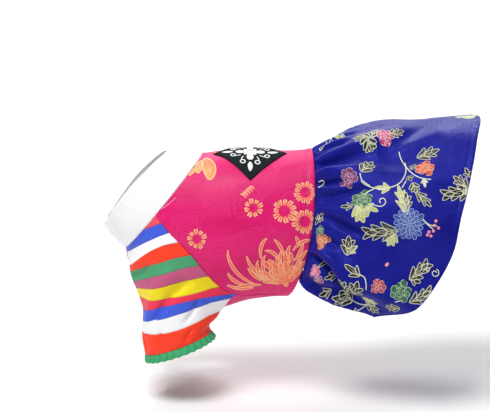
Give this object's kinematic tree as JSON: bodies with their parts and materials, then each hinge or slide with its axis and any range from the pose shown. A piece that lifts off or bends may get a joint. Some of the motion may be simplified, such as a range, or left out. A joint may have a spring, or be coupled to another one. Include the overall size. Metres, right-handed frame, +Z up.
{
  "type": "dog hanbok dress",
  "caption": "Hanbok-style dress for a small dog: white band collar, rose brocade jacket with striped raglan sleeves and ruffled cuffs, black embroidered back patch, and a gathered blue skirt",
  "frame": {"origin": "On the inside of the jacket, on the line of the spine halfway between neckline and waist, where the dog's back carries the garment", "axes": "+X runs along the back from the neck to the tail, +Y is the dog's right side, +Z is up; the mid-plane of the garment is Y = 0"},
  "size_m": [0.3466, 0.1958, 0.2222],
  "materials": {
    "white_cloth": "matt plain weave",
    "rose_brocade": "satin brocade with gold blossoms",
    "striped_cloth": "soft satin in rainbow stripes",
    "green_cloth": "soft satin",
    "blue_brocade": "satin brocade with flower sprigs",
    "black_felt": "matt felt with white embroidery"
  },
  "bodies": {
    "root": {"collar": "white_cloth", "jacket": "rose_brocade", "chest_panel": "rose_brocade", "patch": "black_felt", "skirt": "blue_brocade", "sleeve_left": "striped_cloth", "sleeve_right": "striped_cloth", "cuff_left": "green_cloth", "cuff_right": "green_cloth"}
  },
  "joints": []
}
